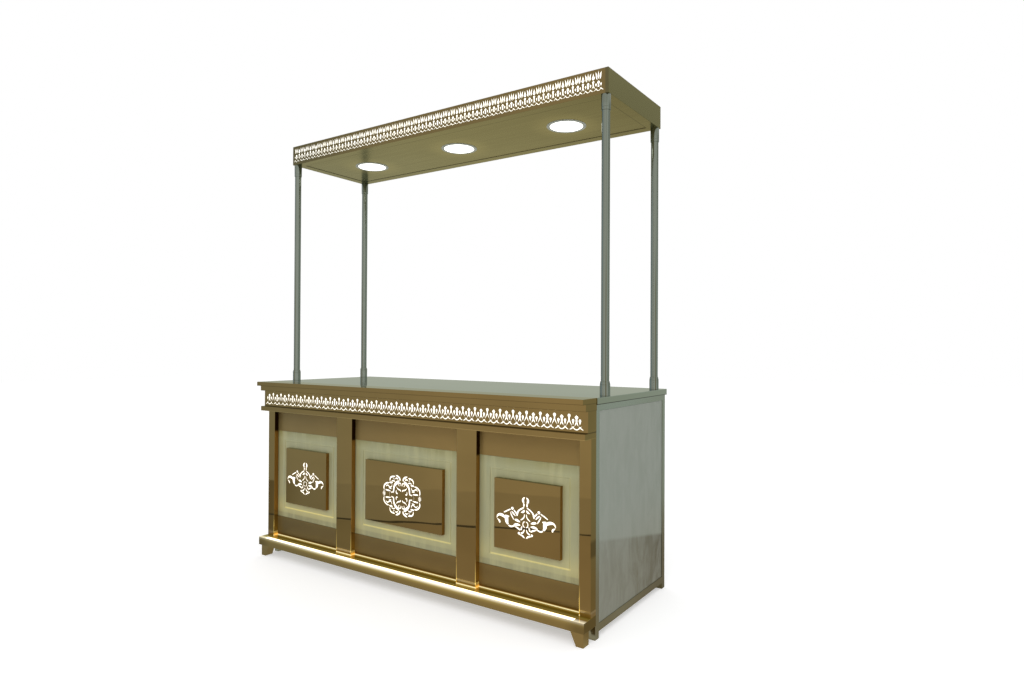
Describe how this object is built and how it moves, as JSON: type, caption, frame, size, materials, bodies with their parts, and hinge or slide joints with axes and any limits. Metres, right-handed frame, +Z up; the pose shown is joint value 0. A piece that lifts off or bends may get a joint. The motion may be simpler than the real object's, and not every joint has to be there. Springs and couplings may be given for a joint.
{
  "type": "buffet counter",
  "caption": "Lit buffet counter: steel cabinet with a gilt panelled front and sliding rear doors, and a light canopy on round posts above its worktop.",
  "frame": {"origin": "on the floor under the middle of the counter's overall length and depth", "axes": "+Z up, +X to the right of a guest who stands in front, and the gilt front faces -Y"},
  "size_m": [1.916, 0.793, 2.169],
  "materials": {
    "stainless": "polished stainless steel",
    "worktop_steel": "polished stainless steel sheet",
    "gilt_mirror": "mirror-polished gilt stainless sheet",
    "gilt_satin": "satin gilt stainless sheet",
    "gilt_foot": "wooden block covered in gilt sheet",
    "grey_stone": "board faced with a glossy cloudy grey laminate",
    "door_laminate": "board faced with a glossy cloudy grey laminate",
    "cream_gloss": "glossy cream sheet with faint upright streaks",
    "pale_board": "plain board",
    "opal": "opal light diffuser",
    "aluminium": "satin aluminium profile",
    "white_plastic": "white moulded plastic",
    "black_plastic": "black moulded plastic"
  },
  "bodies": {
    "counter": {"side_frame_left": "stainless", "side_frame_right": "stainless", "front_rail_lower": "stainless", "front_rail_upper": "stainless", "rear_rail_lower": "stainless", "rear_rail_upper": "stainless", "side_panel_left": "grey_stone", "side_panel_right": "grey_stone", "cabinet_floor": "pale_board", "worktop": "worktop_steel", "worktop_board": "pale_board", "door_track_lower": "aluminium", "door_track_upper": "aluminium", "front_board": "pale_board", "cornice": "gilt_mirror", "frieze_ledge": "gilt_mirror", "frieze_panel": "gilt_mirror", "frieze_opal_sheet": "opal", "front_rail_gilt_lower": "gilt_mirror", "front_rail_gilt_upper": "gilt_mirror", "pilaster_1": "gilt_mirror", "pilaster_2": "gilt_mirror", "pilaster_3": "gilt_mirror", "pilaster_4": "gilt_mirror", "cream_panel_left": "cream_gloss", "cream_panel_centre": "cream_gloss", "cream_panel_right": "cream_gloss", "raised_box_left": "gilt_mirror", "raised_box_centre": "gilt_mirror", "raised_box_right": "gilt_mirror", "box_opal_sheet_left": "opal", "box_opal_sheet_centre": "opal", "box_opal_sheet_right": "opal", "plinth": "gilt_mirror", "plinth_light_strip": "opal", "plinth_foot_left": "gilt_foot", "plinth_foot_right": "gilt_foot", "post_front_left": "stainless", "post_front_right": "stainless", "post_rear_left": "stainless", "post_rear_right": "stainless", "lower_socket_front_left": "stainless", "lower_socket_front_right": "stainless", "lower_socket_rear_left": "stainless", "lower_socket_rear_right": "stainless", "upper_socket_front_left": "stainless", "upper_socket_front_right": "stainless", "upper_socket_rear_left": "stainless", "upper_socket_rear_right": "stainless", "canopy_shell": "gilt_satin", "canopy_fascia": "gilt_mirror", "fascia_opal_sheet": "opal", "soffit_panel": "gilt_satin", "downlight_left": "white_plastic", "downlight_middle": "white_plastic", "downlight_right": "white_plastic", "power_box": "white_plastic"},
    "left_door": {"sliding_door_left": "door_laminate"},
    "right_door": {"sliding_door_right": "door_laminate"},
    "light_switch": {"light_switch_rocker": "black_plastic"}
  },
  "joints": [
    {"name": "left_door_slide", "type": "slide", "parent": "counter", "child": "left_door", "axis": [1, 0, 0], "range_m": [0, 0.895]},
    {"name": "right_door_slide", "type": "slide", "parent": "counter", "child": "right_door", "axis": [-1, 0, 0], "range_m": [0, 0.895]},
    {"name": "light_switch_rock", "type": "hinge", "parent": "counter", "child": "light_switch", "pos_m": [0.886, 0.2495, 0.745], "axis": [0, 1, 0], "range_deg": [-20, 0]}
  ]
}
